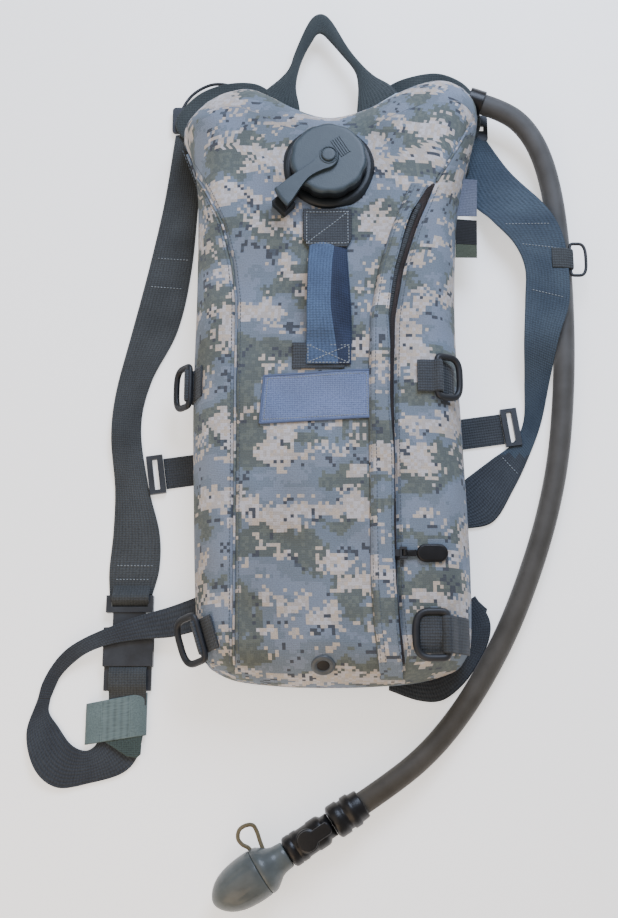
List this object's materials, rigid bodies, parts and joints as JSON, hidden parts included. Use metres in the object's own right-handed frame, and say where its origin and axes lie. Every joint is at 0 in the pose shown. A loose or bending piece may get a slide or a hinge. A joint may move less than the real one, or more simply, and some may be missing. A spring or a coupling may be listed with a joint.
{
  "type": "hydration pack",
  "caption": "Insulated hydration pack lying on its back, with a screw fill cap, zipped gusset, webbing straps, D-rings and a long drink tube ending in a covered bite valve.",
  "frame": {"origin": "on the rest plane under the upper back pad, on the pack's middle line", "axes": "+X to the pack's right as seen from its front, +Y towards the grab handle, +Z out of its front"},
  "size_m": [0.4386, 0.7198, 0.0843],
  "materials": {
    "camo_fabric": "satin",
    "webbing": "satin",
    "mesh_pad": "matte",
    "foam": "matte",
    "film": "gloss",
    "cap_plastic": "satin",
    "buckle_plastic": "satin",
    "silicone": "satin",
    "cover_plastic": "satin",
    "tube_sleeve": "matte",
    "painted_steel": "satin",
    "zipper": "satin"
  },
  "bodies": {
    "pack": {"front_panel": "camo_fabric", "left_gusset": "camo_fabric", "right_gusset": "camo_fabric", "storm_flap": "camo_fabric", "back_panel": "camo_fabric", "yoke_panel": "webbing", "grab_handle": "webbing", "loop_tabs": "webbing", "front_loop_strap": "webbing", "blank_patch": "webbing", "sewn_tags": "webbing", "ring_tabs": "webbing", "left_shoulder_strap": "webbing", "right_shoulder_strap": "webbing", "left_lower_webbing": "webbing", "right_lower_webbing": "webbing", "sternum_strap_left": "webbing", "sternum_strap_right": "webbing", "back_pads": "mesh_pad", "foam_liner": "foam", "reservoir": "film", "fill_neck": "cap_plastic", "port_collar": "cap_plastic", "outlet_elbow": "cap_plastic", "inner_tube": "silicone", "bite_valve": "silicone", "cover_loop": "silicone", "cover_base": "cover_plastic", "left_buckle_plug": "buckle_plastic", "right_buckle_plug": "buckle_plastic", "right_buckle_socket": "buckle_plastic", "sternum_buckle_plug": "buckle_plastic", "sternum_buckle_socket": "buckle_plastic", "strap_sliders": "buckle_plastic", "sternum_sliders": "buckle_plastic", "tube_coupling": "buckle_plastic", "valve_body": "buckle_plastic", "tube_exit_sleeve": "buckle_plastic", "drain_grommet": "painted_steel", "zipper_tape": "zipper", "zipper_chain": "zipper", "drink_tube": "tube_sleeve"},
    "cap_lift": {"cap_tether_arm": "cap_plastic", "cap_rivet": "cap_plastic"},
    "cap": {"fill_cap": "cap_plastic", "cap_gasket": "silicone"},
    "zipper_slider": {"zipper_slider": "zipper"},
    "zipper_pull": {"zipper_pull_tape": "webbing", "zipper_pull_grip": "silicone"},
    "right_middle_ring": {"ring_right_middle": "buckle_plastic"},
    "left_middle_ring": {"ring_left_middle": "buckle_plastic"},
    "left_lower_ring": {"ring_left_lower": "buckle_plastic"},
    "right_lower_ring": {"ring_right_lower": "buckle_plastic"},
    "strap_ring": {"ring_strap": "buckle_plastic"},
    "left_buckle": {"left_buckle_socket": "buckle_plastic", "strap_keeper": "webbing", "left_tail_webbing": "webbing"},
    "lever": {"shutoff_lever": "buckle_plastic"},
    "cover": {"cover_dome": "cover_plastic"}
  },
  "joints": [
    {"name": "cap_lift", "type": "slide", "parent": "pack", "child": "cap_lift", "axis": [0, 0, 1], "range_m": [0, 0.0122]},
    {"name": "cap_turn", "type": "hinge", "parent": "cap_lift", "child": "cap", "pos_m": [-0.001, 0.181, 0.075], "axis": [0, 0, 1], "range_deg": [0, 450]},
    {"name": "zipper_slide", "type": "slide", "parent": "pack", "child": "zipper_slider", "axis": [0, 1, 0], "range_m": [0, 0.105]},
    {"name": "pull_swing", "type": "hinge", "parent": "zipper_slider", "child": "zipper_pull", "pos_m": [0.0535, -0.127, 0.0642], "axis": [0, -1, 0], "range_deg": [0, 95]},
    {"name": "right_middle_ring_swing", "type": "hinge", "parent": "pack", "child": "right_middle_ring", "pos_m": [0.0808, 0.008, 0.0634], "axis": [0, -1, 0], "range_deg": [0, 120]},
    {"name": "left_middle_ring_swing", "type": "hinge", "parent": "pack", "child": "left_middle_ring", "pos_m": [-0.1085, 0.008, 0.03895], "axis": [0, 1, 0], "range_deg": [0, 120]},
    {"name": "left_lower_ring_swing", "type": "hinge", "parent": "pack", "child": "left_lower_ring", "pos_m": [-0.0955, -0.1862, 0.04973], "axis": [-0.2924, 0.9563, 0], "range_deg": [0, 120]},
    {"name": "right_lower_ring_swing", "type": "hinge", "parent": "pack", "child": "right_lower_ring", "pos_m": [0.0835, -0.186, 0.0632], "axis": [0, 1, 0], "range_deg": [0, 140]},
    {"name": "strap_ring_swing", "type": "hinge", "parent": "pack", "child": "strap_ring", "pos_m": [0.1956, 0.121, 0.0194], "axis": [0, -1, 0], "range_deg": [0, 90]},
    {"name": "left_buckle_release", "type": "slide", "parent": "pack", "child": "left_buckle", "axis": [0, -1, 0], "range_m": [0, 0.032]},
    {"name": "lever_turn", "type": "hinge", "parent": "pack", "child": "lever", "pos_m": [-0.01713, -0.32931, 0.0298], "axis": [0, 0, 1], "range_deg": [0, 90]},
    {"name": "cover_slide", "type": "slide", "parent": "pack", "child": "cover", "axis": [-0.8403, -0.5421, 0], "range_m": [0, 0.045]}
  ],
  "couplings": [
    {"joint": "cap_lift", "follows": "cap_turn", "m_per_rad": 0.0015279}
  ]
}
